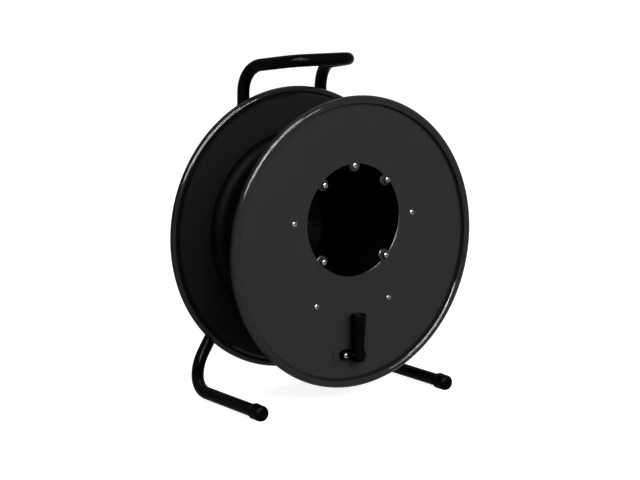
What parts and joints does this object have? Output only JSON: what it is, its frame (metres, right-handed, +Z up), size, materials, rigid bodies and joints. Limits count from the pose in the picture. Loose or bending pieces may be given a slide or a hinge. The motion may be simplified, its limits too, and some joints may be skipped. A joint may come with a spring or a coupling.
{
  "type": "cable reel",
  "caption": "Steel cable reel: drum with rolled rims on a bent-tube stand with carrying handle, off-centre panel opening and folding winding crank.",
  "frame": {"origin": "floor level, middle of the overall box", "axes": "+X right seen from the crank side, +Y from the crank side to the stand's plate, +Z up; the drum turns about Y"},
  "size_m": [0.3799, 0.1965, 0.4507],
  "materials": {
    "tube_paint": "gloss black paint",
    "flange_paint": "satin dark grey powder coat",
    "core_paint": "satin black paint",
    "cap_plastic": "moulded black plastic",
    "grip_plastic": "moulded black plastic",
    "crank_black": "black painted casting",
    "black_steel": "black oxide, oiled",
    "zinc": "bright zinc plate"
  },
  "bodies": {
    "stand": {"stand_tube": "tube_paint", "foot_cap_left": "cap_plastic", "foot_cap_right": "cap_plastic", "axle_plate": "tube_paint", "axle": "black_steel", "hub_washer": "black_steel", "hub_locknut": "black_steel", "stud_nut": "zinc"},
    "drum": {"front_flange": "flange_paint", "rear_flange": "flange_paint", "drum_core": "core_paint", "core_flare": "core_paint", "hub": "core_paint", "core_lug_1": "core_paint", "core_lug_2": "core_paint", "core_lug_3": "core_paint", "core_lug_4": "core_paint", "core_lug_5": "core_paint", "core_screw_1": "zinc", "core_screw_2": "zinc", "core_screw_3": "zinc", "core_screw_4": "zinc", "core_screw_5": "zinc", "panel_screw_1": "zinc", "panel_screw_2": "zinc", "panel_screw_3": "zinc", "panel_screw_4": "zinc", "crank_strap": "flange_paint", "crank_base": "crank_black", "crank_screw": "zinc", "hinge_pin": "crank_black"},
    "crank": {"crank_block": "crank_black", "crank_spindle": "zinc"},
    "grip": {"grip": "grip_plastic"}
  },
  "joints": [
    {"name": "drum_spin", "type": "hinge", "parent": "stand", "child": "drum", "pos_m": [0, 0, 0.2125], "axis": [0, 1, 0], "continuous": true},
    {"name": "crank_fold", "type": "hinge", "parent": "drum", "child": "crank", "pos_m": [0, -0.0883, 0.0667], "axis": [1, 0, 0], "range_deg": [0, 90]},
    {"name": "grip_spin", "type": "hinge", "parent": "crank", "child": "grip", "pos_m": [0, -0.0883, 0.0967], "axis": [0, 0, 1], "continuous": true}
  ]
}
